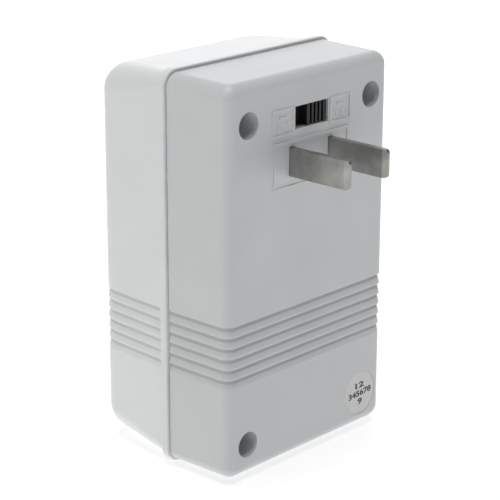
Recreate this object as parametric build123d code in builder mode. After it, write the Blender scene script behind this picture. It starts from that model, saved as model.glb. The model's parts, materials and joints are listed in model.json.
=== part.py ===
from build123d import *
import os
from math import atan, degrees, radians, tan

os.makedirs("parts", exist_ok=True)

# A travel voltage converter: a two-shell box with plug blades and a slide switch on its back face
# and a universal socket on its front face. X runs across, +Y points out of the back, Z is up.
# All sizes are in millimetres and all angles in degrees.

# Housing
body_width = 53.2
body_height = 89.4
rear_depth = 18.0
front_depth = 24.4
wall = 2.0
front_wall = 2.2
rear_draft = 1.0
front_draft = 3.4
corner_radius = 3.2
front_corner_radius = 7.2
front_edge_radius = 6.6
rear_edge_radius = 2.6
rear_inner_bevel = 0.6

# Lip round the parting line, the tongue behind it and the shadow gap beside it
lip_proud = 0.7
lip_width = 1.9
lip_edge_radius = 0.35
rim_wall = 0.95
tongue_length = 1.6
tongue_gap = 0.1
shadow_width = 0.3
shadow_depth = 0.4

# Grooves that run round both shells
groove_count = 6
groove_pitch = 2.45
groove_top_z = 37.0
groove_height = 2.1
groove_knee_height = 1.2
groove_depth = 0.75
groove_knee_depth = 0.28

# Housing screws in deep recesses
screw_inset = 6.6
screw_rise = 7.5
screw_drop = 9.4
recess_gap = 0.3
recess_depth = 13.0
recess_floor = 1.8
recess_wall = 1.8
post_radius = 3.6
screw_radius = 1.45
screw_head_radius = 2.7
screw_head_height = 1.9
screw_reach = 9.0
screw_fit = 0.05
screw_tip_gap = 1.0

# Plug blades
blade_spacing = 12.7
blade_drop = 19.75
blade_reach = 16.5
blade_height = 6.35
blade_thickness = 1.5
blade_bevel = 0.45
blade_bevel_length = 1.3
blade_tip_radius = 0.9
blade_shoulder_height = 8.0
blade_shoulder_depth = 1.6
blade_tail_height = 4.0
blade_tail_length = 7.0
blade_fit = 0.1

# Raised outlines on the back face
panel_width = 24.7
panel_height = 10.6
panel_drop = 0.45
panel_line = 0.55
label_width = 7.0
label_height = 5.9
label_gap = 0.45
label_drop = 0.2
label_line = 0.4
outline_relief = 0.22

# Clamp over the blade feet
clamp_side_wall = 2.5
clamp_end_wall = 0.9
clamp_boss_gap = 0.2
clamp_boss_radius = 2.4
clamp_boss_height = 4.0
clamp_plate = 1.6
clamp_corner = 1.0
clamp_screw_radius = 1.0
clamp_screw_head_radius = 1.9
clamp_screw_head_height = 1.3
clamp_screw_reach = 3.0

# Slide switch
switch_drop = 10.35
window_gap = 0.3
frame_end_gap = 0.8
frame_height = 8.4
frame_depth = 6.5
frame_sheet = 0.5
ear_length = 4.4
ear_height = 5.6
ear_hole_inset = 2.4
stake_radius = 1.0
stake_fit = 0.1
stake_head_radius = 1.7
stake_head_height = 0.8
knob_width = 6.2
knob_height = 4.5
knob_below_face = 0.45
knob_ridges = 5
knob_ridge_share = 0.5
knob_ridge_depth = 0.7
switch_travel = 4.0
slider_cover = 4.3
slider_thickness = 2.4
slider_fit = 0.2
slider_face_gap = 0.1
base_thickness = 1.2
lug_width = 1.8
lug_thickness = 0.5
lug_reach = 4.0
lug_head_width = 2.6
lug_head_thickness = 0.4
lug_fit = 0.05
row_spacing = 4.8
clip_width = 1.8
clip_sheet = 0.35
clip_pad_share = 0.35
clip_rest_gap = 0.25
jumper_radius = 0.4

# Transformer: E and I laminations of the usual 3 to 2.5 proportions, the largest that the box holds
core_side_gap = 3.6
core_low_z = 14.0
carrier_core_gap = 0.5
bobbin_fit = 0.2
bobbin_wall = 0.9
bobbin_flange = 1.0
bobbin_end_gap = 1.9
bobbin_corner = 1.0
flange_lip = 0.2
coil_gap = 1.0
layer_gap = 0.05
inner_winding_share = 0.51
tape_layer = 0.3
wrap_layer = 0.4

# Ribs and ledges that carry the transformer
rib_thickness = 1.6
rib_end_inset = 6.5
rib_gap = 0.3
ledge_thickness = 1.8
ledge_inset = 6.0
side_rib_gap = 0.25
side_rib_depth = 12.0

# Thermal fuse on top of the core
fuse_radius = 1.6
fuse_length = 9.0
fuse_cap_radius = 0.9
fuse_cap_length = 1.2
fuse_lead_radius = 0.4
fuse_lead_length = 3.4
fuse_y = -3.0
sleeve_thickness = 0.3
sleeve_length = 6.4
sleeve_fit = 0.03

# Output socket on the front face
socket_drop = 23.1
pin_spacing = 19.0
pin_hole_radius = 2.6
slot_width = 1.9
slot_height = 7.5
socket_field_width = 32.0
socket_field_height = 20.0
socket_field_radius = 4.0
socket_field_depth = 0.6
pad_thickness = 3.0
carrier_depth = 15.0
carrier_floor = 2.0
carrier_wall = 1.6
carrier_corner = 1.2
carrier_ear_thickness = 2.2
carrier_boss_radius = 2.7
carrier_screw_gap = 1.45
contact_sheet = 0.5
contact_fit = 0.15
contact_leaf_height = 6.8
contact_length = 12.0
contact_barrel_clearance = 0.1
contact_barrel_angle = 105.0
contact_tab_width = 3.0
contact_tab_length = 5.4

# Round inspection sticker in its shallow seat, a little off the centre of the recess that it covers
sticker_radius = 5.2
sticker_thickness = 0.12
sticker_seat_depth = 0.2
sticker_fit = 0.1
sticker_offset_x = 1.4
sticker_offset_z = 0.7

# Leads between the parts inside
lead_radius = 0.7
lead_sides = 8
lead_clearance = 0.1
bend_share = 0.45
tap_stand_off = 2.7
tap_high_rise = 1.0
blade_lead_reach = 6.0
blade_lead_rise = 4.65
common_lead_reach = 3.95
common_lead_split = 1.0
common_tab_overlap = 1.2
fuse_lead_reach = 3.55
fuse_lead_out = 4.5
fuse_lead_drop = 5.0
coil_lead_out = 4.0
coil_lead_side = 3.5
coil_lead_rise = 3.0
socket_lead_drop = 0.8
socket_lead_overlap = 0.9
socket_lead_rise = 4.0

# Overrun of every cutting tool past the face it opens
overrun = 1.0

# Planes and places worked out from the sizes above
overall_depth = rear_depth + front_depth + blade_reach
back_y = overall_depth / 2 - blade_reach
parting_y = back_y - rear_depth
front_y = parting_y - front_depth
half_width = body_width / 2
mid_z = lip_proud + body_height / 2
top_z = lip_proud + body_height
rear_inner_y = back_y - wall
front_inner_y = front_y + front_wall
rear_inset = rear_depth * tan(radians(rear_draft))
front_inset = front_depth * tan(radians(front_draft))
blade_z = top_z - blade_drop
switch_z = top_z - switch_drop
socket_z = top_z - socket_drop
screw_low_z = lip_proud + screw_rise
screw_x = half_width - screw_inset
screw_places = [(side * screw_x, z) for side in (-1, 1) for z in (screw_low_z, top_z - screw_drop)]
recess_radius = screw_head_radius + recess_gap
sticker_place = (sticker_offset_x - screw_x, screw_low_z + sticker_offset_z)
recess_floor_y = back_y - recess_depth
post_top_y = recess_floor_y - recess_floor


def across(y):
    """Plane at depth y that faces forward, with its own x and y along X and Z."""
    return Plane(origin=(0, y, 0), x_dir=(1, 0, 0), z_dir=(0, -1, 0))


def body_outline(inset, radius):
    """Rounded rectangle of the body at the parting line, drawn in by inset."""
    with Locations((0, mid_z)):
        RectangleRounded(body_width - 2 * inset, body_height - 2 * inset, radius)


def bar_side(start, end, half, cut):
    """Corners of a bar that reaches half less the inset each way, and less cut times the corner radius."""
    reach = [(half - inset - cut * radius, y) for y, inset, radius in (start, end)]
    return [*reach, *[(-half_reach, y) for half_reach, y in reversed(reach)]]


def tapered_block(start, end, ease, ease_size):
    """Block between two outlines, each given as y, inset and corner radius, with its end edges eased."""
    with BuildPart() as block:
        for cut_width, cut_height in ((0, 1), (1, 0)):
            with BuildPart(mode=Mode.PRIVATE) as bar:
                with BuildSketch(Plane.XY.offset(mid_z)):
                    with BuildLine():
                        Polyline(*bar_side(start, end, body_width / 2, cut_width), close=True)
                    make_face()
                extrude(amount=body_height, both=True)
                with BuildSketch(Plane.YZ):
                    with BuildLine():
                        Polyline(
                            *[(y, z + mid_z) for z, y in bar_side(start, end, body_height / 2, cut_height)],
                            close=True,
                        )
                    make_face()
                extrude(amount=body_width, both=True, mode=Mode.INTERSECT)
            add(bar.part)
        for side, across_align in ((-1, Align.MAX), (1, Align.MIN)):
            for rise, up_align in ((-1, Align.MAX), (1, Align.MIN)):
                with BuildPart(mode=Mode.PRIVATE) as corner:
                    for y, inset, radius in (start, end):
                        centre = (
                            side * (body_width / 2 - inset - radius),
                            mid_z + rise * (body_height / 2 - inset - radius),
                        )
                        with BuildSketch(across(y)):
                            with Locations(centre):
                                Circle(radius)
                                Rectangle(
                                    radius, radius, align=(across_align, up_align), mode=Mode.INTERSECT
                                )
                    loft(ruled=True)
                add(corner.part)
        end_face = block.faces().sort_by(Axis.Y)[-1 if end[0] > start[0] else 0]
        ease(end_face.edges(), ease_size)
    return block.part


def ring_outline(outer_inset, inner_inset):
    """Ring between two outlines of the body, each drawn in by its inset."""
    body_outline(outer_inset, corner_radius - outer_inset)
    with Locations((0, mid_z)):
        RectangleRounded(
            body_width - 2 * inner_inset,
            body_height - 2 * inner_inset,
            max(corner_radius - inner_inset, corner_radius / 3),
            mode=Mode.SUBTRACT,
        )


# Outer and inner forms of the two shells
inner_corner = corner_radius - wall
rear_outer = tapered_block(
    (parting_y, 0, corner_radius),
    (back_y, rear_inset, corner_radius),
    fillet,
    rear_edge_radius,
)
rear_cavity = tapered_block(
    (parting_y, wall, inner_corner),
    (rear_inner_y, wall + rear_inset * (1 - wall / rear_depth), inner_corner),
    chamfer,
    rear_inner_bevel,
)
front_outer = tapered_block(
    (parting_y, 0, corner_radius),
    (front_y, front_inset, front_corner_radius),
    fillet,
    front_edge_radius,
)
front_cavity = tapered_block(
    (parting_y, wall, inner_corner),
    (
        front_inner_y,
        wall + front_inset * (1 - front_wall / front_depth),
        front_corner_radius - wall,
    ),
    fillet,
    front_edge_radius - wall,
)

# One groove, with its flat roof at z = 0 and a ramp in two steps below it that runs out to the surface
body_profile = [
    (half_width, parting_y),
    (half_width - rear_inset, back_y),
    (rear_inset - half_width, back_y),
    (-half_width, parting_y),
    (front_inset - half_width, front_y),
    (half_width - front_inset, front_y),
]
groove_places = [(0, 0, groove_top_z - turn * groove_pitch) for turn in range(groove_count)]
with BuildSketch() as belt:
    with BuildLine():
        Polyline(*body_profile, close=True)
    make_face()
    fillet(belt.vertices().group_by(Axis.Y)[-1], rear_edge_radius)
    fillet(belt.vertices().group_by(Axis.Y)[0], front_edge_radius)
groove_ramp = degrees(atan(groove_knee_depth / groove_knee_height))
groove_roof_height = groove_height - groove_knee_height
groove_steep = degrees(atan((groove_depth - groove_knee_depth) / groove_roof_height))
band_height = groove_height + groove_knee_height
with BuildPart() as groove_band:
    with BuildSketch(Plane.XY.offset(-band_height)):
        with Locations((0, (back_y + front_y) / 2)):
            Rectangle(body_width + 2 * overrun, back_y - front_y + 2 * overrun)
    extrude(amount=band_height)
    with BuildSketch(Plane.XY.offset(-band_height)):
        add(belt.sketch_local)
        offset(amount=groove_knee_depth, mode=Mode.REPLACE)
    extrude(amount=2 * groove_knee_height, taper=groove_ramp, mode=Mode.SUBTRACT)
    with BuildSketch(Plane.XY.offset(-groove_roof_height)):
        add(belt.sketch_local)
        offset(amount=-groove_knee_depth, mode=Mode.REPLACE)
    extrude(amount=groove_roof_height, taper=groove_steep, mode=Mode.SUBTRACT)

# Output socket: one round pin hole joined to one flat blade slot on each side
pin_places = [(side * pin_spacing / 2, socket_z) for side in (-1, 1)]
slot_places = [(side * blade_spacing / 2, socket_z) for side in (-1, 1)]
contact_inner_x = blade_spacing / 2 - blade_thickness / 2 - contact_fit - contact_sheet
barrel_inner_radius = pin_hole_radius + contact_barrel_clearance
barrel_outer_radius = barrel_inner_radius + contact_sheet
contact_outer_x = pin_spacing / 2 + barrel_outer_radius
pocket_width = contact_outer_x - contact_inner_x + 2 * contact_fit
pocket_height = contact_leaf_height + 2 * contact_fit
pocket_x = (contact_outer_x + contact_inner_x) / 2
carrier_width = 2 * (contact_outer_x + contact_fit + carrier_wall)
carrier_height = pocket_height + 2 * carrier_wall
pad_y = front_inner_y + pad_thickness
carrier_back_y = pad_y + carrier_depth
pocket_floor_y = carrier_back_y - carrier_floor
carrier_screw_x = carrier_width / 2 + clamp_screw_head_radius + carrier_screw_gap
carrier_screw_places = [(side * carrier_screw_x, socket_z) for side in (-1, 1)]
carrier_screw_depth = pad_thickness + front_wall / 2

# Transformer proportions
core_mid_y = (front_inner_y + rear_inner_y) / 2
leg_width = min(
    (body_width - 2 * (wall + core_side_gap)) / 3,
    (socket_z - carrier_height / 2 - carrier_core_gap - ledge_thickness - rib_gap - core_low_z) * 2 / 5,
)
core_width = 3 * leg_width
yoke = leg_width / 2
coil_build = yoke - bobbin_fit - bobbin_wall - coil_gap
flange_depth = rear_inner_y - front_inner_y - 2 * bobbin_end_gap
stack_depth = flange_depth - 2 * (flange_lip + coil_build + bobbin_fit + bobbin_wall)
window_clear_height = 3 * leg_width / 2
core_height = window_clear_height + 2 * yoke
core_mid_z = core_low_z + core_height / 2
core_front_y = core_mid_y - stack_depth / 2
core_back_y = core_mid_y + stack_depth / 2
core_top_z = core_low_z + core_height
rib_height = core_height - 2 * rib_end_inset
ledge_width = core_width - 2 * ledge_inset

# Front shell: fittings first, trimmed to the outer form, then the shell itself
with BuildPart() as front_fittings:
    with BuildSketch(across(front_y)):
        with Locations(*screw_places):
            Circle(post_radius)
    extrude(amount=-front_depth)
    with BuildSketch(across(front_y)):
        with Locations((0, socket_z)):
            RectangleRounded(carrier_width, carrier_height, carrier_corner)
        with Locations(*carrier_screw_places):
            Circle(carrier_boss_radius)
    extrude(amount=-(front_wall + pad_thickness))
    with BuildSketch(across(front_y)):
        for side in (-1, 1):
            with Locations((side * (core_width - yoke) / 2, core_mid_z)):
                Rectangle(rib_thickness, rib_height)
    extrude(amount=-(core_front_y - front_y))
    with BuildSketch(across(front_y)):
        for z in (core_low_z - ledge_thickness / 2, core_top_z + rib_gap + ledge_thickness / 2):
            with Locations((0, z)):
                Rectangle(ledge_width, ledge_thickness)
        side_rib_width = half_width - wall - core_width / 2 - side_rib_gap
        side_rib_x = core_width / 2 + side_rib_gap + side_rib_width / 2
        for side in (-1, 1):
            for end in (-1, 1):
                with Locations((side * side_rib_x, core_mid_z + end * rib_height / 2)):
                    Rectangle(side_rib_width, rib_thickness)
    extrude(amount=-(front_wall + side_rib_depth))
    add(front_outer, mode=Mode.INTERSECT)

with BuildPart() as lip:
    with BuildSketch(across(parting_y)):
        body_outline(-lip_proud, corner_radius + lip_proud)
    extrude(amount=lip_width)
    fillet(lip.edges().filter_by(Axis.Y, reverse=True), lip_edge_radius)
    with BuildSketch(across(parting_y)):
        body_outline(wall / 2, corner_radius - wall / 2)
    extrude(amount=lip_width, mode=Mode.SUBTRACT)

with BuildPart() as front_shell:
    add(front_outer)
    add(front_cavity, mode=Mode.SUBTRACT)
    add(front_fittings.part)
    with Locations(*groove_places):
        add(groove_band.part, mode=Mode.SUBTRACT)
    add(lip.part)
    with BuildSketch(across(parting_y)):
        ring_outline(rim_wall + tongue_gap, wall)
    extrude(amount=-tongue_length)
    with BuildSketch(across(parting_y)):
        with Locations(*screw_places):
            Circle(post_radius)
    extrude(amount=-(post_top_y - parting_y))
    with BuildSketch(across(post_top_y)):
        with Locations(*screw_places):
            Circle(screw_radius + screw_fit)
    extrude(amount=screw_reach + screw_tip_gap, mode=Mode.SUBTRACT)
    with BuildSketch(across(front_y)):
        with Locations((0, socket_z)):
            RectangleRounded(socket_field_width, socket_field_height, socket_field_radius)
    extrude(amount=-socket_field_depth, mode=Mode.SUBTRACT)
    with BuildSketch(across(front_y)):
        with Locations(*pin_places):
            Circle(pin_hole_radius)
        with Locations(*slot_places):
            Rectangle(slot_width, slot_height)
    extrude(amount=-(front_wall + pad_thickness), mode=Mode.SUBTRACT)
    with BuildSketch(across(pad_y)):
        with Locations(*carrier_screw_places):
            Circle(clamp_screw_radius + screw_fit)
    extrude(amount=carrier_screw_depth + screw_tip_gap, mode=Mode.SUBTRACT)
front_shell.part.label = "front_shell"
export_step(front_shell.part, "parts/front_shell.step")

# Rear shell: fittings inside, then window, slots, recesses and raised outlines
clamp_width = blade_spacing + blade_thickness + 2 * clamp_side_wall
clamp_height = blade_shoulder_height + 2 * clamp_end_wall
clamp_boss_x = clamp_width / 2 + clamp_boss_gap + clamp_boss_radius
clamp_boss_places = [(side * clamp_boss_x, blade_z) for side in (-1, 1)]
window_width = knob_width + switch_travel + 2 * window_gap
window_height = knob_height + 2 * window_gap
slider_width = knob_width + 2 * slider_cover
frame_width = slider_width + switch_travel + 2 * frame_end_gap
ear_span = frame_width + 2 * ear_length
stake_places = [(side * (ear_span / 2 - ear_hole_inset), switch_z) for side in (-1, 1)]
blade_places = [(side * blade_spacing / 2, blade_z) for side in (-1, 1)]
label_x = window_width / 2 + label_gap + label_width / 2
label_places = [(side * label_x, switch_z - label_drop) for side in (-1, 1)]
with BuildPart() as rear_fittings:
    with BuildSketch(across(back_y)):
        with Locations(*screw_places):
            Circle(recess_radius + recess_wall)
    extrude(amount=recess_depth + recess_floor)
    with BuildSketch(across(back_y)):
        with Locations(*clamp_boss_places):
            Circle(clamp_boss_radius)
    extrude(amount=wall + clamp_boss_height)
    with BuildSketch(across(back_y)):
        with Locations(*stake_places):
            Circle(stake_radius)
    extrude(amount=wall + frame_sheet)
    with BuildSketch(across(rear_inner_y - frame_sheet)):
        with Locations(*stake_places):
            Circle(stake_head_radius)
    extrude(amount=stake_head_height)
    with BuildSketch(across(back_y)):
        for side in (-1, 1):
            with Locations((side * (core_width - yoke) / 2, core_mid_z)):
                Rectangle(rib_thickness, rib_height)
    extrude(amount=back_y - core_back_y - rib_gap)
    add(rear_outer, mode=Mode.INTERSECT)

with BuildPart() as rear_shell:
    add(rear_outer)
    add(rear_cavity, mode=Mode.SUBTRACT)
    add(rear_fittings.part)
    with Locations(*groove_places):
        add(groove_band.part, mode=Mode.SUBTRACT)
    with BuildSketch(across(parting_y)):
        ring_outline(rim_wall, wall + overrun)
    extrude(amount=-(tongue_length + tongue_gap), mode=Mode.SUBTRACT)
    with BuildSketch(across(parting_y)):
        with Locations((0, mid_z)):
            Rectangle(body_width + 2 * overrun, body_height + 2 * overrun)
        with Locations((0, mid_z)):
            RectangleRounded(
                body_width - 2 * shadow_depth,
                body_height - 2 * shadow_depth,
                corner_radius - shadow_depth,
                mode=Mode.SUBTRACT,
            )
    extrude(amount=-shadow_width, mode=Mode.SUBTRACT)
    with BuildSketch(across(back_y)):
        with Locations(*screw_places):
            Circle(recess_radius)
    extrude(amount=recess_depth, mode=Mode.SUBTRACT)
    with BuildSketch(across(back_y)):
        with Locations(*screw_places):
            Circle(screw_radius + 2 * screw_fit)
    extrude(amount=recess_depth + recess_floor, mode=Mode.SUBTRACT)
    with BuildSketch(across(back_y)):
        with Locations((0, switch_z)):
            Rectangle(window_width, window_height)
        with Locations(*blade_places):
            Rectangle(blade_thickness + 2 * blade_fit, blade_height + 2 * blade_fit)
    extrude(amount=wall, mode=Mode.SUBTRACT)
    with BuildSketch(across(rear_inner_y - clamp_boss_height)):
        with Locations(*clamp_boss_places):
            Circle(clamp_screw_radius + screw_fit)
    extrude(amount=-(clamp_screw_reach + screw_tip_gap), mode=Mode.SUBTRACT)
    with BuildSketch(across(back_y)):
        with Locations(sticker_place):
            Circle(sticker_radius + sticker_fit)
    extrude(amount=sticker_seat_depth, mode=Mode.SUBTRACT)
    with BuildSketch(across(back_y)):
        with Locations((0, blade_z - panel_drop)):
            Rectangle(panel_width, panel_height)
            Rectangle(panel_width - 2 * panel_line, panel_height - 2 * panel_line, mode=Mode.SUBTRACT)
        with Locations(*label_places):
            Rectangle(label_width, label_height)
            Rectangle(label_width - 2 * label_line, label_height - 2 * label_line, mode=Mode.SUBTRACT)
    extrude(amount=-outline_relief)
rear_shell.part.label = "rear_shell"
export_step(rear_shell.part, "parts/rear_shell.step")

# Four housing screws, seated on the recess floors
with BuildPart() as housing_screws:
    with BuildSketch(across(recess_floor_y)):
        with Locations(*screw_places):
            Circle(screw_head_radius)
    extrude(amount=-screw_head_height)
    with BuildSketch(across(recess_floor_y)):
        with Locations(*screw_places):
            Circle(screw_radius)
    extrude(amount=recess_floor + screw_reach)
housing_screws.part.label = "housing_screws"
export_step(housing_screws.part, "parts/housing_screws.step")

# Round paper sticker over the fourth recess
with BuildPart() as inspection_sticker:
    with BuildSketch(across(back_y - sticker_seat_depth)):
        with Locations(sticker_place):
            Circle(sticker_radius)
    extrude(amount=-sticker_thickness)
inspection_sticker.part.label = "inspection_sticker"
export_step(inspection_sticker.part, "parts/inspection_sticker.step")

# Plug blades: bevelled tip, shoulders against the back wall inside, narrow solder tail
blade_tip_y = back_y + blade_reach
shoulder_y = rear_inner_y - blade_shoulder_depth
blade_tail_y = shoulder_y - blade_tail_length
blade_side = [
    (blade_tail_y, blade_tail_height / 2),
    (shoulder_y, blade_tail_height / 2),
    (shoulder_y, blade_shoulder_height / 2),
    (rear_inner_y, blade_shoulder_height / 2),
    (rear_inner_y, blade_height / 2),
    (blade_tip_y, blade_height / 2),
]
for name, side in (("plug_blade_left", -1), ("plug_blade_right", 1)):
    blade_x = side * blade_spacing / 2
    with BuildPart() as plug_blade:
        with BuildSketch(Plane.YZ.offset(blade_x)) as blade_face:
            with BuildLine():
                Polyline(
                    *[(y, blade_z + z) for y, z in blade_side],
                    *[(y, blade_z - z) for y, z in reversed(blade_side)],
                    close=True,
                )
            make_face()
            fillet(blade_face.vertices().group_by(Axis.X)[-1], blade_tip_radius)
        extrude(amount=blade_thickness / 2, both=True)
        with BuildSketch(Plane.XY.offset(blade_z)):
            with BuildLine():
                Polyline(
                    (blade_x - blade_thickness / 2, blade_tail_y),
                    (blade_x + blade_thickness / 2, blade_tail_y),
                    (blade_x + blade_thickness / 2, blade_tip_y - blade_bevel_length),
                    (blade_x + blade_thickness / 2 - blade_bevel, blade_tip_y),
                    (blade_x - blade_thickness / 2 + blade_bevel, blade_tip_y),
                    (blade_x - blade_thickness / 2, blade_tip_y - blade_bevel_length),
                    close=True,
                )
            make_face()
        extrude(amount=blade_shoulder_height, both=True, mode=Mode.INTERSECT)
    plug_blade.part.label = name
    export_step(plug_blade.part, "parts/" + name + ".step")

# Clamp over the blade feet, standing on the back wall and screwed to two bosses
clamp_plate_y = rear_inner_y - clamp_boss_height
clamp_back_y = clamp_plate_y - clamp_plate
with BuildPart() as blade_clamp:
    with BuildSketch(across(rear_inner_y)):
        with Locations((0, blade_z)):
            RectangleRounded(clamp_width, clamp_height, clamp_corner)
    extrude(amount=clamp_boss_height + clamp_plate)
    with BuildSketch(across(clamp_plate_y)):
        with Locations((0, blade_z)):
            SlotOverall(2 * (clamp_boss_x + clamp_boss_radius), 2 * clamp_boss_radius)
    extrude(amount=clamp_plate)
    with BuildSketch(across(rear_inner_y)):
        with Locations(*blade_places):
            Rectangle(blade_thickness + 2 * blade_fit, blade_shoulder_height + 2 * blade_fit)
    extrude(amount=blade_shoulder_depth, mode=Mode.SUBTRACT)
    with BuildSketch(across(rear_inner_y)):
        with Locations(*blade_places):
            Rectangle(blade_thickness + 2 * blade_fit, blade_tail_height + 2 * blade_fit)
        with Locations(*clamp_boss_places):
            Circle(clamp_screw_radius + screw_fit)
    extrude(amount=clamp_boss_height + clamp_plate, mode=Mode.SUBTRACT)
blade_clamp.part.label = "blade_clamp"
export_step(blade_clamp.part, "parts/blade_clamp.step")


def small_screws(places, seat_y, reach, outward):
    """Small pan head screws at places: heads on seat_y, shanks of length reach the other way."""
    with BuildPart() as screws:
        with BuildSketch(across(seat_y)):
            with Locations(*places):
                Circle(clamp_screw_head_radius)
        extrude(amount=outward * clamp_screw_head_height)
        with BuildSketch(across(seat_y)):
            with Locations(*places):
                Circle(clamp_screw_radius)
        extrude(amount=-outward * reach)
    return screws.part


blade_clamp_screws = small_screws(clamp_boss_places, clamp_back_y, clamp_plate + clamp_screw_reach, 1)
blade_clamp_screws.label = "blade_clamp_screws"
export_step(blade_clamp_screws, "parts/blade_clamp_screws.step")

# Slide switch: steel frame staked to the back wall by two moulded pins
frame_plate_y = rear_inner_y - frame_sheet
frame_end_y = rear_inner_y - frame_depth
base_top_y = frame_end_y + base_thickness
lug_end_y = frame_end_y - lug_reach
knob_slot_width = knob_width + switch_travel + 2 * slider_fit
knob_slot_height = knob_height + 2 * slider_fit
with BuildPart() as switch_frame:
    with BuildSketch(across(rear_inner_y)):
        with Locations((0, switch_z)):
            Rectangle(frame_width, frame_height)
            RectangleRounded(ear_span, ear_height, ear_height / 3)
            Rectangle(knob_slot_width, knob_slot_height, mode=Mode.SUBTRACT)
        with Locations(*stake_places):
            Circle(stake_radius + stake_fit, mode=Mode.SUBTRACT)
    extrude(amount=frame_sheet)
    with BuildSketch(across(frame_plate_y)):
        for side in (-1, 1):
            with Locations((0, switch_z + side * (frame_height - frame_sheet) / 2)):
                Rectangle(frame_width, frame_sheet)
    extrude(amount=frame_depth - frame_sheet)
switch_frame.part.label = "switch_frame"
export_step(switch_frame.part, "parts/switch_frame.step")

# Switch base board with six slots, and the six lugs in it
lug_places = [
    (column * switch_travel, switch_z + row * row_spacing / 2)
    for row in (-1, 1)
    for column in (-1, 0, 1)
]
base_height = frame_height - 2 * frame_sheet - 2 * lug_fit
with BuildPart() as switch_base:
    with BuildSketch(across(base_top_y)):
        with Locations((0, switch_z)):
            Rectangle(frame_width, base_height)
        with Locations(*lug_places):
            Rectangle(lug_width + 2 * lug_fit, lug_thickness + 2 * lug_fit, mode=Mode.SUBTRACT)
    extrude(amount=base_thickness)
switch_base.part.label = "switch_base"
export_step(switch_base.part, "parts/switch_base.step")

with BuildPart() as switch_terminals:
    with BuildSketch(across(base_top_y)):
        with Locations(*lug_places):
            Rectangle(lug_head_width, clip_width)
    extrude(amount=-lug_head_thickness)
    with BuildSketch(across(base_top_y)):
        with Locations(*lug_places):
            Rectangle(lug_width, lug_thickness)
    extrude(amount=base_thickness + lug_reach)
switch_terminals.part.label = "switch_terminals"
export_step(switch_terminals.part, "parts/switch_terminals.step")

# Slider with its ridged knob, at the end of its travel nearer -X
slider_x = -switch_travel / 2
slider_top_y = frame_plate_y - slider_face_gap
slider_low_y = slider_top_y - slider_thickness
knob_top_y = back_y - knob_below_face
ridge_pitch = knob_width / knob_ridges
with BuildPart() as switch_slider:
    with BuildSketch(across(slider_top_y)):
        with Locations((slider_x, switch_z)):
            Rectangle(slider_width, frame_height - 2 * (frame_sheet + slider_fit))
    extrude(amount=slider_thickness)
    with BuildSketch(across(slider_top_y)):
        with Locations((slider_x, switch_z)):
            Rectangle(knob_width, knob_height)
    extrude(amount=-(knob_top_y - slider_top_y))
    with BuildSketch(across(knob_top_y)):
        with Locations((slider_x, switch_z)):
            with GridLocations(ridge_pitch, 0, knob_ridges - 1, 1):
                Rectangle(ridge_pitch * knob_ridge_share, knob_height)
    extrude(amount=knob_ridge_depth, mode=Mode.SUBTRACT)
switch_slider.part.label = "switch_slider"
export_step(switch_slider.part, "parts/switch_slider.step")

# Two bridging clips under the slider, each over two neighbouring lugs of its row
clip_top_y = slider_low_y - clip_sheet / 2
clip_foot_y = base_top_y + lug_head_thickness + clip_rest_gap + clip_sheet / 2
clip_half = switch_travel / 2
clip_pad = clip_half * clip_pad_share
clip_tip = clip_half + clip_pad
with BuildPart() as switch_contacts:
    for row in (-1, 1):
        with BuildSketch(Plane.XY.offset(switch_z + row * row_spacing / 2)):
            with BuildLine():
                FilletPolyline(
                    (slider_x - clip_tip, (clip_foot_y + clip_top_y) / 2),
                    (slider_x - clip_half, clip_foot_y),
                    (slider_x - clip_pad, clip_top_y),
                    (slider_x + clip_pad, clip_top_y),
                    (slider_x + clip_half, clip_foot_y),
                    (slider_x + clip_tip, (clip_foot_y + clip_top_y) / 2),
                    radius=clip_sheet,
                )
            trace(line_width=clip_sheet)
        extrude(amount=clip_width / 2, both=True)
switch_contacts.part.label = "switch_contacts"
export_step(switch_contacts.part, "parts/switch_contacts.step")

# Transformer core: E stack below, I stack on top
with BuildPart() as core_e_stack:
    with BuildSketch(across(core_back_y)):
        with Locations((0, core_low_z)):
            Rectangle(core_width, core_height - yoke, align=(Align.CENTER, Align.MIN))
        for side in (-1, 1):
            with Locations((side * leg_width * 3 / 4, core_low_z + yoke)):
                Rectangle(
                    yoke,
                    window_clear_height,
                    align=(Align.CENTER, Align.MIN),
                    mode=Mode.SUBTRACT,
                )
    extrude(amount=stack_depth)
core_e_stack.part.label = "core_e_stack"
export_step(core_e_stack.part, "parts/core_e_stack.step")

with BuildPart() as core_i_stack:
    with BuildSketch(across(core_back_y)):
        with Locations((0, core_top_z)):
            Rectangle(core_width, yoke, align=(Align.CENTER, Align.MAX))
    extrude(amount=stack_depth)
core_i_stack.part.label = "core_i_stack"
export_step(core_i_stack.part, "parts/core_i_stack.step")

# Coil former with two flanges, round the centre leg
bobbin_low_z = core_low_z + yoke + bobbin_fit
bobbin_height = window_clear_height - 2 * bobbin_fit
tube_width = leg_width + 2 * (bobbin_fit + bobbin_wall)
tube_depth = stack_depth + 2 * (bobbin_fit + bobbin_wall)
flange_width = 2 * (leg_width - bobbin_fit)
with BuildPart() as coil_bobbin:
    with BuildSketch(Plane.XY.offset(bobbin_low_z)):
        with Locations((0, core_mid_y)):
            RectangleRounded(tube_width, tube_depth, bobbin_corner)
    extrude(amount=bobbin_height)
    for z in (bobbin_low_z, bobbin_low_z + bobbin_height - bobbin_flange):
        with BuildSketch(Plane.XY.offset(z)):
            with Locations((0, core_mid_y)):
                RectangleRounded(flange_width, flange_depth, bobbin_corner)
        extrude(amount=bobbin_flange)
    with BuildSketch(Plane.XY.offset(bobbin_low_z)):
        with Locations((0, core_mid_y)):
            Rectangle(leg_width + 2 * bobbin_fit, stack_depth + 2 * bobbin_fit)
    extrude(amount=bobbin_height, mode=Mode.SUBTRACT)
coil_bobbin.part.label = "coil_bobbin"
export_step(coil_bobbin.part, "parts/coil_bobbin.step")

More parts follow.
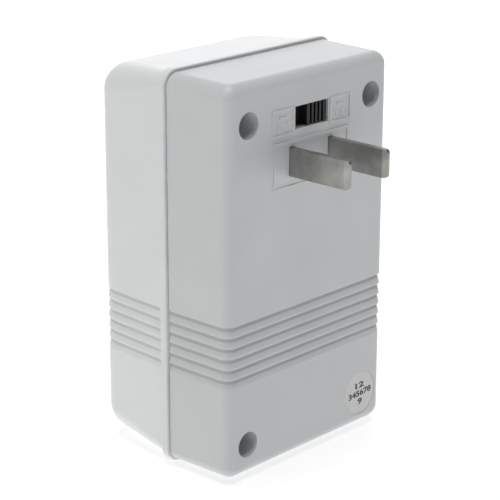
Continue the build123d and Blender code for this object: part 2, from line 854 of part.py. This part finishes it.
# Two winding sections and their tapes, one round the other
coil_low_z = bobbin_low_z + bobbin_flange + layer_gap
coil_height = bobbin_height - 2 * (bobbin_flange + layer_gap)
wire_build = coil_build - tape_layer - wrap_layer - 4 * layer_gap
coil_out = 0
for name, thickness in (
    ("inner_winding", wire_build * inner_winding_share),
    ("interlayer_tape", tape_layer),
    ("outer_winding", wire_build * (1 - inner_winding_share)),
    ("outer_tape", wrap_layer),
):
    coil_in = coil_out + layer_gap
    coil_out = coil_in + thickness
    with BuildPart() as coil_layer:
        with BuildSketch(Plane.XY.offset(coil_low_z)):
            with Locations((0, core_mid_y)):
                RectangleRounded(
                    tube_width + 2 * coil_out, tube_depth + 2 * coil_out, bobbin_corner + coil_out
                )
                RectangleRounded(
                    tube_width + 2 * coil_in,
                    tube_depth + 2 * coil_in,
                    bobbin_corner + coil_in,
                    mode=Mode.SUBTRACT,
                )
        extrude(amount=coil_height)
    coil_layer.part.label = name
    export_step(coil_layer.part, "parts/" + name + ".step")

# Thermal fuse with its two leads, lying in a sleeve on top of the core
fuse_z = core_top_z + fuse_radius + sleeve_fit + sleeve_thickness
fuse_end_x = fuse_length / 2 + fuse_cap_length
fuse_tip_x = fuse_end_x + fuse_lead_length
with BuildPart() as thermal_fuse:
    for radius, reach in (
        (fuse_radius, fuse_length / 2),
        (fuse_cap_radius, fuse_end_x),
        (fuse_lead_radius, fuse_tip_x),
    ):
        with BuildSketch(Plane.YZ):
            with Locations((fuse_y, fuse_z)):
                Circle(radius)
        extrude(amount=reach, both=True)
thermal_fuse.part.label = "thermal_fuse"
export_step(thermal_fuse.part, "parts/thermal_fuse.step")

with BuildPart() as fuse_sleeve:
    with BuildSketch(Plane.YZ):
        with Locations((fuse_y, fuse_z)):
            Circle(fuse_radius + sleeve_fit + sleeve_thickness)
            Circle(fuse_radius + sleeve_fit, mode=Mode.SUBTRACT)
    extrude(amount=sleeve_length / 2, both=True)
fuse_sleeve.part.label = "fuse_sleeve"
export_step(fuse_sleeve.part, "parts/fuse_sleeve.step")

# Contact carrier: moulded block with two pockets, screwed to bosses behind the front face
tab_x = pin_spacing / 2
with BuildPart() as contact_carrier:
    with BuildSketch(across(pad_y)):
        with Locations((0, socket_z)):
            RectangleRounded(carrier_width, carrier_height, carrier_corner)
    extrude(amount=-carrier_depth)
    with BuildSketch(across(pad_y)):
        with Locations((0, socket_z)):
            SlotOverall(2 * (carrier_screw_x + carrier_boss_radius), 2 * carrier_boss_radius)
    extrude(amount=-carrier_ear_thickness)
    with BuildSketch(across(pad_y)):
        with Locations(*[(side * pocket_x, socket_z) for side in (-1, 1)]):
            Rectangle(pocket_width, pocket_height)
    extrude(amount=-(carrier_depth - carrier_floor), mode=Mode.SUBTRACT)
    with BuildSketch(across(pad_y)):
        with Locations(*[(side * tab_x, socket_z) for side in (-1, 1)]):
            Rectangle(contact_sheet + 2 * contact_fit, contact_tab_width + 2 * contact_fit)
        with Locations(*carrier_screw_places):
            Circle(clamp_screw_radius + screw_fit)
    extrude(amount=-carrier_depth, mode=Mode.SUBTRACT)
contact_carrier.part.label = "contact_carrier"
export_step(contact_carrier.part, "parts/contact_carrier.step")

carrier_screws = small_screws(
    carrier_screw_places, pad_y + carrier_ear_thickness, carrier_ear_thickness + carrier_screw_depth, -1
)
carrier_screws.label = "carrier_screws"
export_step(carrier_screws, "parts/carrier_screws.step")

# Socket contacts: a flat leaf, a forked leaf and a barrel for a round pin, on one web with a solder tab
barrel_x = pin_spacing / 2
open_angle = radians(180 - contact_barrel_angle)
fork_x = blade_spacing / 2 + blade_thickness / 2 + contact_fit + contact_sheet / 2
fork_height = contact_leaf_height / 2 - pin_hole_radius - contact_barrel_clearance
with BuildPart() as right_contact:
    with BuildSketch(across(pocket_floor_y)):
        with Locations((barrel_x, socket_z)):
            Circle(barrel_outer_radius)
            Circle(barrel_inner_radius, mode=Mode.SUBTRACT)
            with BuildLine():
                Polyline(
                    (0, 0),
                    (-2 * barrel_outer_radius, 2 * barrel_outer_radius * tan(open_angle)),
                    (-2 * barrel_outer_radius, -2 * barrel_outer_radius * tan(open_angle)),
                    close=True,
                )
            make_face(mode=Mode.SUBTRACT)
        with Locations((contact_inner_x + contact_sheet / 2, socket_z)):
            Rectangle(contact_sheet, contact_leaf_height)
        for side in (-1, 1):
            with Locations((fork_x, socket_z + side * (contact_leaf_height - fork_height) / 2)):
                Rectangle(contact_sheet, fork_height)
    extrude(amount=contact_length)
    with BuildSketch(across(pocket_floor_y)):
        with Locations((pocket_x, socket_z)):
            Rectangle(contact_outer_x - contact_inner_x, contact_leaf_height)
    extrude(amount=contact_sheet)
    with BuildSketch(across(pocket_floor_y)):
        with Locations((tab_x, socket_z)):
            Rectangle(contact_sheet, contact_tab_width)
    extrude(amount=-contact_tab_length)
right_contact.part.label = "socket_contact_right"
export_step(right_contact.part, "parts/socket_contact_right.step")

with BuildPart() as left_contact:
    add(mirror(right_contact.part, about=Plane.YZ, mode=Mode.PRIVATE))
left_contact.part.label = "socket_contact_left"
export_step(left_contact.part, "parts/socket_contact_left.step")


def bend_radii(points):
    """Largest even bend at each corner of a lead, as a share of its shorter run."""
    radii = []
    for before, corner, after in zip(points, points[1:], points[2:]):
        run_in = Vector(*corner) - Vector(*before)
        run_out = Vector(*after) - Vector(*corner)
        half_turn = radians(run_in.get_angle(run_out)) / 2
        radii.append(bend_share * min(run_in.length, run_out.length) / tan(half_turn))
    return radii


def round_wire(points, radius):
    """Round wire of the given radius along straight runs joined by arcs."""
    with BuildPart() as wire:
        with BuildLine() as route:
            FilletPolyline(*points, radius=bend_radii(points))
        path = route.wire()
        with BuildSketch(Plane(origin=path @ 0, z_dir=path % 0)) as section:
            RegularPolygon(radius, lead_sides)
        sweep()
    share = wire.part.volume / (path.length * section.sketch.area)
    print("wire length", round(path.length, 1), "volume share", round(share, 3))
    print("bend radii", [round(bend, 1) for bend in bend_radii(points)])
    return wire.part


# Leads: routes chosen by hand between the places that they are soldered to
upper_row = switch_z + row_spacing / 2
lower_row = switch_z - row_spacing / 2
coil_lead_y = core_mid_y + flange_depth / 2 + lead_clearance + lead_radius
coil_exit_z = core_mid_z + coil_height / 4
tab_end_y = pocket_floor_y + contact_tab_length
tap_y = carrier_back_y + tap_stand_off
tap_turn_z = (core_top_z + blade_z - clamp_height / 2) / 2
blade_x = blade_spacing / 2
blade_lead_y = blade_tail_y - blade_lead_reach
socket_lead_y = lug_end_y + socket_lead_overlap
socket_lead_z = socket_z - socket_lead_drop
common_lead_z = blade_z + common_lead_split
common_tab_y = tab_end_y - common_tab_overlap
fuse_lead_x = fuse_tip_x + fuse_lead_out
coil_lead_x = -blade_x - coil_lead_side
leads = {
    "lead_low_tap": [
        (-switch_travel, coil_lead_y, coil_exit_z),
        (-switch_travel, coil_lead_y, tap_turn_z),
        (-switch_travel, tap_y, socket_z + tap_high_rise),
        (-switch_travel, tap_y, upper_row),
        (-switch_travel, lug_end_y, upper_row),
    ],
    "lead_high_tap": [
        (switch_travel, coil_lead_y, coil_exit_z),
        (switch_travel, coil_lead_y, tap_turn_z),
        (switch_travel, tap_y, socket_z + tap_high_rise),
        (switch_travel, tap_y, upper_row),
        (switch_travel, lug_end_y, upper_row),
    ],
    "lead_blade": [
        (-blade_x, blade_tail_y, blade_z),
        (-blade_x, blade_lead_y, blade_z),
        (0, blade_lead_y, blade_z + blade_lead_rise),
        (0, blade_lead_y, upper_row),
        (0, lug_end_y, upper_row),
    ],
    "lead_socket": [
        (-tab_x, tab_end_y, socket_lead_z),
        (-tab_x, socket_lead_y, socket_lead_z),
        (0, socket_lead_y, socket_z + socket_lead_rise),
        (0, socket_lead_y, lower_row - lug_thickness / 2),
    ],
    "lead_common_socket": [
        (blade_x, blade_tail_y, common_lead_z),
        (blade_x, blade_tail_y - common_lead_reach, common_lead_z),
        (tab_x, common_tab_y, common_lead_z),
        (tab_x, common_tab_y, socket_z + contact_tab_width / 2),
    ],
    "lead_common_fuse": [
        (blade_x, blade_tail_y, blade_z - common_lead_split),
        (blade_x, blade_tail_y - fuse_lead_reach, blade_z - common_lead_split),
        (fuse_lead_x, fuse_y, socket_z - fuse_lead_drop),
        (fuse_lead_x, fuse_y, fuse_z),
        (fuse_tip_x, fuse_y, fuse_z),
    ],
    "lead_common_coil": [
        (-fuse_tip_x, fuse_y, fuse_z),
        (-fuse_tip_x - coil_lead_out, fuse_y, fuse_z),
        (coil_lead_x, coil_lead_y, core_top_z + coil_lead_rise),
        (coil_lead_x, coil_lead_y, coil_exit_z),
    ],
}
for name, points in leads.items():
    lead = round_wire(points, lead_radius)
    lead.label = name
    export_step(lead, "parts/" + name + ".step")

# Two cross links between opposite lugs of the two rows
jumper_high = upper_row - lug_thickness / 2
jumper_low = lower_row + lug_thickness / 2
jumper_drop = (jumper_high - jumper_low) / 4
links = []
for side, y in ((1, lug_end_y + lug_reach / 3), (-1, lug_end_y + lug_reach * 3 / 4)):
    start_x = -side * switch_travel
    links.append(
        round_wire(
            [
                (start_x, y, jumper_high),
                (start_x, y, jumper_high - jumper_drop),
                (-start_x, y, jumper_low + jumper_drop),
                (-start_x, y, jumper_low),
            ],
            jumper_radius,
        )
    )
with BuildPart() as switch_links:
    add(links)
switch_links.part.label = "switch_links"
export_step(switch_links.part, "parts/switch_links.step")
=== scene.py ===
import json
from math import cos, pi, radians, sin

import bmesh
import bpy
from mathutils import Matrix, Vector


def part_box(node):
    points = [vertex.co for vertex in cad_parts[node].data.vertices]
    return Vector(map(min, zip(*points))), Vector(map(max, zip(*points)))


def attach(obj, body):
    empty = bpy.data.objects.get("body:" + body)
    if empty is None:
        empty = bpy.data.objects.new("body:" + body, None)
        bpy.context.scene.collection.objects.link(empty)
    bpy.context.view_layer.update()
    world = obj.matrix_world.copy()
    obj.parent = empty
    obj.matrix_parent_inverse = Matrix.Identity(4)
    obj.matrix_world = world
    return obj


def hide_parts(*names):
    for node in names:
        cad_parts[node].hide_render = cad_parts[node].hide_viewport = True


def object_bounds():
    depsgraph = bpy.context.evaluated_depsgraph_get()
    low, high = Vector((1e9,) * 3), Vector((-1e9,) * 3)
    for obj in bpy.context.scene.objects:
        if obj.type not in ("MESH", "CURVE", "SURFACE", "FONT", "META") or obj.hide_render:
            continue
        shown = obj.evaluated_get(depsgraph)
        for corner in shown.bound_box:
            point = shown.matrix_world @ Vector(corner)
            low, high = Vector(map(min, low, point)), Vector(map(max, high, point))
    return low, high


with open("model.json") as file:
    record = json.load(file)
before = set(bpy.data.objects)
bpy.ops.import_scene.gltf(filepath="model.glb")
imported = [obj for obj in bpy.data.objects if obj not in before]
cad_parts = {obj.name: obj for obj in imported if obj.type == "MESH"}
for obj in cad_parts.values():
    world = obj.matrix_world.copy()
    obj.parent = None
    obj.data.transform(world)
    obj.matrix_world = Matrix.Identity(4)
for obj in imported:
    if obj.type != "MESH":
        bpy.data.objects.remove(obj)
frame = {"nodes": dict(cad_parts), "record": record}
cad_low, cad_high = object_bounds()
nodes = frame["nodes"]

MM = 0.001


def mm(*values):
    """Point given in millimetres."""
    return Vector(values) * MM


# Places on the object: two boxes from the frame, the back face and the middles of the label panels
sticker_low, sticker_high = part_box("inspection_sticker")
screws_low, screws_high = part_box("housing_screws")
BACK_FACE_Y = 12.95 * MM
LABEL_X = 9.35 * MM
LABEL_Z = 79.55 * MM

# Fineness of the textures in cells a metre, and depth of their relief
CLOUDS = 60
GLOSS_PATCHES = 900
SPARK_GRAIN = 4200
SPARK_GRAIN_DEPTH = 0.02 * MM
BLOTCHES = 220
STREAKS = 1500
STREAK_DEPTH = 0.01 * MM
PAPER_MOTTLE = 700
FIBRES = 2500
FIBRE_DEPTH = 0.01 * MM
INK_GAPS = 5200
WAVE_BAND = 0.314  # length of a band of Blender's wave texture at scale 1


# Materials
def new_material(name, colour, roughness, metallic=0.0):
    """Principled material with plain numbers on its shader; returns the material, its tree and shader."""
    made = bpy.data.materials.new(name)
    made.use_nodes = True
    tree = made.node_tree
    shader = tree.nodes["Principled BSDF"]
    shader.inputs["Base Color"].default_value = (*colour, 1)
    shader.inputs["Roughness"].default_value = roughness
    shader.inputs["Metallic"].default_value = metallic
    return made, tree, shader


def coordinates(tree, scale=(1, 1, 1)):
    """Object coordinates, stretched by scale."""
    source = tree.nodes.new("ShaderNodeTexCoord")
    mapping = tree.nodes.new("ShaderNodeMapping")
    mapping.inputs["Scale"].default_value = scale
    tree.links.new(source.outputs["Object"], mapping.inputs["Vector"])
    return mapping.outputs["Vector"]


def noise(tree, scale, detail=4.0, stretch=(1, 1, 1)):
    """Noise of that many cells a metre."""
    made = tree.nodes.new("ShaderNodeTexNoise")
    made.inputs["Scale"].default_value = scale
    made.inputs["Detail"].default_value = detail
    tree.links.new(coordinates(tree, stretch), made.inputs["Vector"])
    return made.outputs["Fac"]


def ramp(tree, source, low, high):
    """Runs source from one colour to another."""
    made = tree.nodes.new("ShaderNodeValToRGB")
    made.color_ramp.elements[0].position = low[0]
    made.color_ramp.elements[0].color = (*low[1], 1)
    made.color_ramp.elements[1].position = high[0]
    made.color_ramp.elements[1].color = (*high[1], 1)
    tree.links.new(source, made.inputs["Fac"])
    return made.outputs["Color"]


def spread(tree, source, low, high):
    """Runs source from one number to another."""
    made = tree.nodes.new("ShaderNodeMapRange")
    made.inputs["To Min"].default_value = low
    made.inputs["To Max"].default_value = high
    tree.links.new(source, made.inputs["Value"])
    return made.outputs["Result"]


def bump(tree, shader, source, strength, depth):
    """Fine relief of that depth in metres."""
    made = tree.nodes.new("ShaderNodeBump")
    made.inputs["Strength"].default_value = strength
    made.inputs["Distance"].default_value = depth
    tree.links.new(source, made.inputs["Height"])
    tree.links.new(made.outputs["Normal"], shader.inputs["Normal"])


def shaded(colour, factor):
    """Colour, lighter or darker by factor."""
    return tuple(min(1, channel * factor) for channel in colour)


def moulded(name, colour, roughness, variation=0.025, grain=0.25):
    """Moulded plastic: spark-eroded grain, slight flow clouding and uneven gloss."""
    made, tree, shader = new_material(name, colour, roughness)
    shader.inputs["IOR"].default_value = 1.5
    cloud = noise(tree, CLOUDS, 3)
    low = (0.35, shaded(colour, 1 - variation))
    high = (0.65, shaded(colour, 1 + variation / 2))
    tree.links.new(ramp(tree, cloud, low, high), shader.inputs["Base Color"])
    gloss = spread(tree, noise(tree, GLOSS_PATCHES, 2), roughness - 0.05, roughness + 0.07)
    tree.links.new(gloss, shader.inputs["Roughness"])
    bump(tree, shader, noise(tree, SPARK_GRAIN, 2), grain, SPARK_GRAIN_DEPTH)
    return made


def metal(name, colour, roughness, streaks=(1, 1, 1), variation=0.12, relief=0.2):
    """Plated or rolled metal with streaks along the axis whose stretch is smallest."""
    made, tree, shader = new_material(name, colour, roughness, 1.0)
    blotch = noise(tree, BLOTCHES, 4)
    low = (0.3, shaded(colour, 1 - variation))
    high = (0.7, shaded(colour, 1 + variation / 2))
    tree.links.new(ramp(tree, blotch, low, high), shader.inputs["Base Color"])
    streak = noise(tree, STREAKS, 3, streaks)
    tree.links.new(spread(tree, streak, roughness - 0.1, roughness + 0.12), shader.inputs["Roughness"])
    bump(tree, shader, streak, relief, STREAK_DEPTH)
    return made


def layered(name, colour, gap_colour, roughness, metallic, pitch, axis):
    """Thin layers side by side along an axis, such as laminations or turns of wire."""
    made, tree, shader = new_material(name, colour, roughness, metallic)
    wave = tree.nodes.new("ShaderNodeTexWave")
    wave.wave_type = "BANDS"
    wave.bands_direction = axis
    wave.wave_profile = "SIN"
    wave.inputs["Scale"].default_value = WAVE_BAND / pitch
    wave.inputs["Distortion"].default_value = 0.15
    tree.links.new(coordinates(tree), wave.inputs["Vector"])
    stripes = ramp(tree, wave.outputs["Fac"], (0.05, gap_colour), (0.4, colour))
    tree.links.new(stripes, shader.inputs["Base Color"])
    bump(tree, shader, wave.outputs["Fac"], 0.5, pitch / 4)
    return made


def paper(name, colour):
    """Coated sticker paper with a faint fibre."""
    made, tree, shader = new_material(name, colour, 0.42)
    mottle = ramp(tree, noise(tree, PAPER_MOTTLE, 5), (0.3, shaded(colour, 0.97)), (0.7, colour))
    tree.links.new(mottle, shader.inputs["Base Color"])
    bump(tree, shader, noise(tree, FIBRES, 3), 0.12, FIBRE_DEPTH)
    return made


def ink(name, colour):
    """Printed ink that covers unevenly."""
    made, tree, shader = new_material(name, colour, 0.6)
    cover = ramp(tree, noise(tree, INK_GAPS, 3), (0.3, colour), (0.75, shaded(colour, 2.2)))
    tree.links.new(cover, shader.inputs["Base Color"])
    return made


# Both shells are one white plastic; the rear shell's white is made darker than the front's as painted
# shade
WHITE_FRONT = (0.85, 0.865, 0.88)
SHADED_WHITE_REAR = (0.69, 0.705, 0.72)
finishes = {
    "front_shell_plastic": moulded("front_shell_plastic", WHITE_FRONT, 0.42),
    "rear_shell_plastic": moulded("rear_shell_plastic", SHADED_WHITE_REAR, 0.42),
    "inner_plastic": moulded("inner_plastic", (0.62, 0.61, 0.57), 0.5),
    "board_plastic": moulded("board_plastic", (0.16, 0.085, 0.04), 0.55, variation=0.15),
    "knob_plastic": moulded("knob_plastic", (0.010, 0.010, 0.011), 0.45, variation=0.2),
    "bobbin_plastic": moulded("bobbin_plastic", (0.68, 0.66, 0.56), 0.5),
    "coil_tape": moulded("coil_tape", (0.72, 0.47, 0.05), 0.3, variation=0.1),
    "sleeve_plastic": moulded("sleeve_plastic", (0.75, 0.75, 0.68), 0.4),
    "lead_red": moulded("lead_red", (0.48, 0.02, 0.015), 0.35, variation=0.08),
    "lead_yellow": moulded("lead_yellow", (0.70, 0.42, 0.03), 0.35, variation=0.08),
    "lead_black": moulded("lead_black", (0.012, 0.012, 0.012), 0.35, variation=0.08),
    "lead_blue": moulded("lead_blue", (0.02, 0.06, 0.30), 0.35, variation=0.08),
    "lead_white": moulded("lead_white", (0.70, 0.70, 0.66), 0.35, variation=0.05),
    "blade_nickel": metal("blade_nickel", (0.40, 0.40, 0.38), 0.42, streaks=(1, 0.05, 1), variation=0.3),
    "screw_steel": metal("screw_steel", (0.20, 0.20, 0.21), 0.38),
    "frame_steel": metal("frame_steel", (0.56, 0.57, 0.55), 0.36, streaks=(0.1, 1, 1)),
    "contact_brass": metal("contact_brass", (0.72, 0.50, 0.20), 0.3, streaks=(1, 0.1, 1)),
    "tinned_wire": metal("tinned_wire", (0.70, 0.70, 0.69), 0.3),
    "fuse_metal": metal("fuse_metal", (0.58, 0.58, 0.58), 0.35),
    "core_steel": layered("core_steel", (0.10, 0.10, 0.11), (0.02, 0.02, 0.02), 0.5, 0.6, 0.5 * MM, "Y"),
    "winding_copper": layered("winding_copper", (0.50, 0.17, 0.06), (0.12, 0.03, 0.01), 0.3, 0.8,
                              0.4 * MM, "Z"),
    "sticker_paper": paper("sticker_paper", (0.765, 0.76, 0.76)),
}
slot_of = {row["node"]: row["material_slot"] for row in frame["record"]["subparts"]}
for name, node in nodes.items():
    node.data.materials.clear()
    node.data.materials.append(finishes[slot_of[name]])


def piece(name, mesh_maker, body, slot):
    """New piece from a bmesh filled by mesh_maker, riding on body with the finish of slot."""
    data = bpy.data.meshes.new(name)
    shape = bmesh.new()
    mesh_maker(shape)
    bmesh.ops.recalc_face_normals(shape, faces=shape.faces)
    shape.to_mesh(data)
    shape.free()
    made = bpy.data.objects.new(name, data)
    bpy.context.scene.collection.objects.link(made)
    data.materials.append(finishes[slot])
    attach(made, body)
    return made


# Raised numbers and printed numbers, which are read from behind the object
def lettering(name, text, place, size, depth, body, finish, bevel=0.0, bold=0.0, width=None,
              tilt=0.0):
    """Text as a mesh on the back face, depth proud of place. Bold widens its strokes, width sets how
    wide the line is, and tilt turns it."""
    curve = bpy.data.curves.new(name, "FONT")
    curve.body = text
    curve.size = size
    curve.align_x = "CENTER"
    curve.align_y = "CENTER"
    curve.extrude = depth / 2 - bevel
    curve.bevel_depth = bevel
    curve.offset = bold
    curve.resolution_u = 3
    draft = bpy.data.objects.new(name + "_draft", curve)
    bpy.context.scene.collection.objects.link(draft)
    bpy.context.view_layer.update()
    data = bpy.data.meshes.new_from_object(draft)
    bpy.data.objects.remove(draft)
    data.name = name
    data.materials.clear()
    data.materials.append(finish)
    if width:
        across = [vertex.co.x for vertex in data.vertices]
        data.transform(Matrix.Diagonal((width / (max(across) - min(across)), 1, 1, 1)))
    data.transform(Matrix.Rotation(tilt, 4, "Z"))
    # Stands the text up and lets it run toward -X, so that it faces +Y
    turn = Matrix(((-1, 0, 0, 0), (0, 0, 1, 0), (0, 1, 0, 0), (0, 0, 0, 1)))
    data.transform(Matrix.Translation(place + Vector((0, depth / 2, 0))) @ turn)
    made = bpy.data.objects.new(name, data)
    bpy.context.scene.collection.objects.link(made)
    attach(made, body)


RELIEF = 0.12 * MM
SUNK = 0.03 * MM
EDGE_ROUND = 0.03 * MM
NUMBER_SIZE = 3.25 * MM
NUMBER_BELOW_MIDDLE = 1.25 * MM
WAVE_SIZE = 4.16 * MM
WAVE_ABOVE_MIDDLE = 1.15 * MM
label_y = BACK_FACE_Y - SUNK
for name, text, side in (("low_voltage", "110", 1), ("high_voltage", "220", -1)):
    spot = Vector((side * LABEL_X, label_y, LABEL_Z - NUMBER_BELOW_MIDDLE))
    lettering(name + "_number", text, spot, NUMBER_SIZE, RELIEF + SUNK, "housing",
              finishes["rear_shell_plastic"], EDGE_ROUND)
    spot = Vector((side * LABEL_X, label_y, LABEL_Z + WAVE_ABOVE_MIDDLE))
    lettering(name + "_wave", "~", spot, WAVE_SIZE, RELIEF + SUNK, "housing",
              finishes["rear_shell_plastic"], EDGE_ROUND)

sticker_ink = ink("sticker_ink", (0.04, 0.04, 0.042))
sticker_x = (sticker_low.x + sticker_high.x) / 2
sticker_z = (sticker_low.z + sticker_high.z) / 2
INK_THICKNESS = 0.012 * MM
PRINT_SIZE = 1.95 * MM
PRINT_BOLD = 0.07 * MM
PRINT_TILT = radians(3.5)
# Each line's text, its place across and up from the sticker's middle, and its width, in millimetres
STICKER_LINES = (("12", 0.4, 1.85, 3.1), ("345678", 0.0, -0.15, 8.1), ("9", -0.1, -2.2, 1.6))
for row, (text, across, up, width) in enumerate(STICKER_LINES):
    spot = Vector((sticker_x + across * MM, sticker_high.y, sticker_z + up * MM))
    lettering("sticker_print_%d" % row, text, spot, PRINT_SIZE, INK_THICKNESS, "housing",
              sticker_ink, bold=PRINT_BOLD, width=width * MM, tilt=PRINT_TILT)


# Housing screws with cross recesses and threads, in place of the plain ones
SCREW_HEAD_RADIUS = 2.7 * MM
SCREW_HEAD_HEIGHT = 1.9 * MM
SCREW_RADIUS = 1.45 * MM
THREAD_ROOT = 1.12 * MM
THREAD_PITCH = 1.2 * MM
PLAIN_SHANK = 1.8 * MM
POINT_RADIUS = 0.3 * THREAD_ROOT
SCREW_STEPS = 48
seat_y = screws_high.y - SCREW_HEAD_HEIGHT
# Dome of the head from its seat, in shares of the head's radius and height
HEAD_PROFILE = ((1, 0), (1, 0.55), (0.93, 0.8), (0.75, 0.94), (0.5, 1))
CROSS_ARM = 0.5 * SCREW_HEAD_RADIUS
CROSS_HALF_WIDTH = 0.13 * SCREW_HEAD_RADIUS
CROSS_DEPTH = 0.45 * SCREW_HEAD_RADIUS
# How far the cross reaches at the recess's rim and at its bottom, in shares of its full size
RIM_SHARE = 0.92
BOTTOM_SHARE = 0.5


def screw_profile():
    """Radius and depth from the screw's point to the flat of its crown."""
    rows = [(POINT_RADIUS, screws_low.y), (THREAD_ROOT, screws_low.y + THREAD_PITCH)]
    turns = int((seat_y - PLAIN_SHANK - rows[-1][1]) / THREAD_PITCH)
    for turn in range(turns):
        rows.append((SCREW_RADIUS, rows[-1][1] + THREAD_PITCH / 2))
        rows.append((THREAD_ROOT, rows[-1][1] + THREAD_PITCH / 2))
    rows += [(SCREW_RADIUS, seat_y - PLAIN_SHANK), (SCREW_RADIUS, seat_y)]
    return rows + [(r * SCREW_HEAD_RADIUS, seat_y + up * SCREW_HEAD_HEIGHT) for r, up in HEAD_PROFILE]


def turned_screw(shape, x, z):
    """Screw along Y at x, z, with a cross recess in its crown."""
    rings = []
    for r, y in screw_profile():
        turn = [2 * pi * k / SCREW_STEPS for k in range(SCREW_STEPS)]
        rings.append([shape.verts.new((x + r * cos(t), y, z + r * sin(t))) for t in turn])
    for below, above in zip(rings, rings[1:]):
        for k in range(SCREW_STEPS):
            follow = (k + 1) % SCREW_STEPS
            shape.faces.new((below[k], below[follow], above[follow], above[k]))
    shape.faces.new(rings[0])
    arm, half, top_y = CROSS_ARM, CROSS_HALF_WIDTH, screws_high.y
    cross = [(arm, -half), (arm, half), (half, half), (half, arm), (-half, arm), (-half, half),
             (-arm, half), (-arm, -half), (-half, -half), (-half, -arm), (half, -arm), (half, -half)]
    rim = [shape.verts.new((x + a * RIM_SHARE, top_y, z + b * RIM_SHARE)) for a, b in cross]
    bottom = [shape.verts.new((x + a * BOTTOM_SHARE, top_y - CROSS_DEPTH, z + b * BOTTOM_SHARE))
              for a, b in cross]
    for k in range(len(cross)):
        follow = (k + 1) % len(cross)
        shape.faces.new((rim[k], rim[follow], bottom[follow], bottom[k]))
    shape.faces.new(bottom)
    outer = [shape.edges.get((rings[-1][k], rings[-1][(k + 1) % SCREW_STEPS])) for k in range(SCREW_STEPS)]
    inner = [shape.edges.get((rim[k], rim[(k + 1) % len(cross)])) for k in range(len(cross))]
    bmesh.ops.triangle_fill(shape, use_beauty=True, edges=outer + inner)


def cross_head_screws(shape):
    """Four screws at the corners of the plain screws' box."""
    for x in (screws_low.x + SCREW_HEAD_RADIUS, screws_high.x - SCREW_HEAD_RADIUS):
        for z in (screws_low.z + SCREW_HEAD_RADIUS, screws_high.z - SCREW_HEAD_RADIUS):
            turned_screw(shape, x, z)


cross_screws = piece("cross_head_screws", cross_head_screws, "housing", "screw_steel")
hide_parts("housing_screws")


# Floor, light and camera. The floor glows like a light table, which keeps it white round the foot.
FLOOR_HALF = 3000 * MM
FLOOR_GAP = 0.1 * MM
FLOOR_TONE = 0.5
FLOOR_GLOW = 0.63
WORLD_GLOW = 0.06
floor_mesh = bpy.data.meshes.new("floor")
floor_mesh.from_pydata([(-FLOOR_HALF, -FLOOR_HALF, 0), (FLOOR_HALF, -FLOOR_HALF, 0),
                        (FLOOR_HALF, FLOOR_HALF, 0), (-FLOOR_HALF, FLOOR_HALF, 0)], [], [(0, 1, 2, 3)])
floor = bpy.data.objects.new("floor", floor_mesh)
floor.location.z = cad_low.z - FLOOR_GAP
bpy.context.scene.collection.objects.link(floor)
floor_finish, _, floor_shader = new_material("floor_finish", (FLOOR_TONE,) * 3, 0.9)
floor_shader.inputs["Emission Color"].default_value = (1, 1, 1, 1)
floor_shader.inputs["Emission Strength"].default_value = FLOOR_GLOW
floor_mesh.materials.append(floor_finish)

world = bpy.data.worlds.new("studio")
bpy.context.scene.world = world
world.use_nodes = True
world.node_tree.nodes["Background"].inputs["Color"].default_value = (1, 1, 1, 1)
world.node_tree.nodes["Background"].inputs["Strength"].default_value = WORLD_GLOW
bpy.context.scene.view_settings.view_transform = "Standard"


def soft_sun(name, toward_light, softness, strength, colour=(1, 1, 1)):
    """Even light from the direction toward_light, spread over softness degrees."""
    lamp = bpy.data.lights.new(name, "SUN")
    lamp.angle = radians(softness)
    lamp.energy = strength
    lamp.color = colour
    made = bpy.data.objects.new(name, lamp)
    made.rotation_euler = Vector(toward_light).to_track_quat("Z", "Y").to_euler()
    bpy.context.scene.collection.objects.link(made)


def soft_panel(name, place, aim, width, height, watts):
    """Panel of that size that lights from place toward aim and isn't seen itself."""
    lamp = bpy.data.lights.new(name, "AREA")
    lamp.shape = "RECTANGLE"
    lamp.size = width
    lamp.size_y = height
    lamp.energy = watts
    made = bpy.data.objects.new(name, lamp)
    made.location = place
    made.rotation_euler = (place - aim).to_track_quat("Z", "Y").to_euler()
    made.visible_camera = False
    bpy.context.scene.collection.objects.link(made)


soft_sun("overhead", toward_light=(0.04, 0.04, 1), softness=40, strength=2.1)
soft_sun("left", toward_light=(1, -0.38, 0.15), softness=40, strength=0.46, colour=(1, 0.96, 0.88))
soft_panel("backdrop_light", place=mm(-400, -370, 200), aim=mm(0, 0, 60), width=700 * MM,
           height=400 * MM, watts=1.6)

CAMERA_PLACE = mm(288.627, 263.673, 174.824)
CAMERA_YAW = radians(132.974)
CAMERA_LIFT = radians(18.268)
CAMERA_ROLL = radians(0.167)
CAMERA_LENS = 130.679
SENSOR = 36.0
back = Vector((sin(CAMERA_YAW) * cos(CAMERA_LIFT), -cos(CAMERA_YAW) * cos(CAMERA_LIFT), sin(CAMERA_LIFT)))
level = Vector((cos(CAMERA_YAW), sin(CAMERA_YAW), 0))
upright = back.cross(level)
right = level * cos(CAMERA_ROLL) + upright * sin(CAMERA_ROLL)
up = upright * cos(CAMERA_ROLL) - level * sin(CAMERA_ROLL)
lens = bpy.data.cameras.new("camera")
lens.lens = CAMERA_LENS
lens.sensor_width = SENSOR
lens.clip_start = 10 * MM
camera = bpy.data.objects.new("camera", lens)
camera.matrix_world = Matrix.Translation(CAMERA_PLACE) @ Matrix((right, up, back)).transposed().to_4x4()
bpy.context.scene.collection.objects.link(camera)
bpy.context.scene.camera = camera
